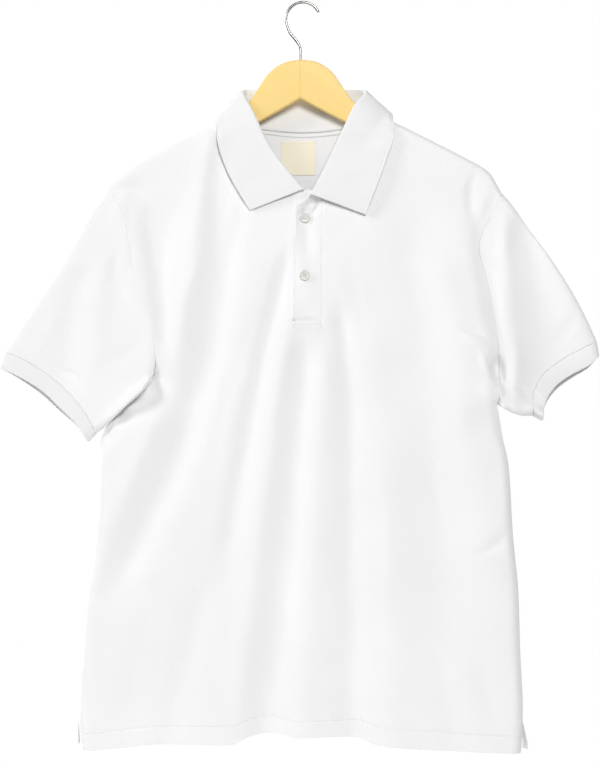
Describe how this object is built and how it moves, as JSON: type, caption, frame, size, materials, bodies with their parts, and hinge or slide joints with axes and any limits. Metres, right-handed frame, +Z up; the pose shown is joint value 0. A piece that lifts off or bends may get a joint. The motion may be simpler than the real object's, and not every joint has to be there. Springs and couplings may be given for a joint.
{
  "type": "polo shirt on coat hanger",
  "caption": "White short-sleeved knit polo shirt with an open collar and a buttoned placket, hanging on a flat wooden hanger with a bent wire hook.",
  "frame": {"origin": "inside of the hook's crown, where a rail carries it", "axes": "+Z up, the shirt's front faces -Y, +X to the right as seen from the front"},
  "size_m": [0.684, 0.0495, 0.8541],
  "materials": {
    "cloth": "white cotton pique knit, matte",
    "rib": "white flat-knit rib, matte",
    "tape": "white twill tape",
    "label": "cream woven label, bare",
    "button": "off-white moulded resin",
    "wood": "pale lacquered wood",
    "chrome": "bright plated wire"
  },
  "bodies": {
    "root": {"front_panel": "cloth", "back_panel": "cloth", "sleeve_left": "cloth", "sleeve_right": "cloth", "placket_upper": "cloth", "placket_under": "cloth", "cuff_left": "rib", "cuff_right": "rib", "collar": "rib", "neck_tape": "tape", "label": "label", "button_1": "button", "button_2": "button", "hanger": "wood", "hook": "chrome"}
  },
  "joints": []
}
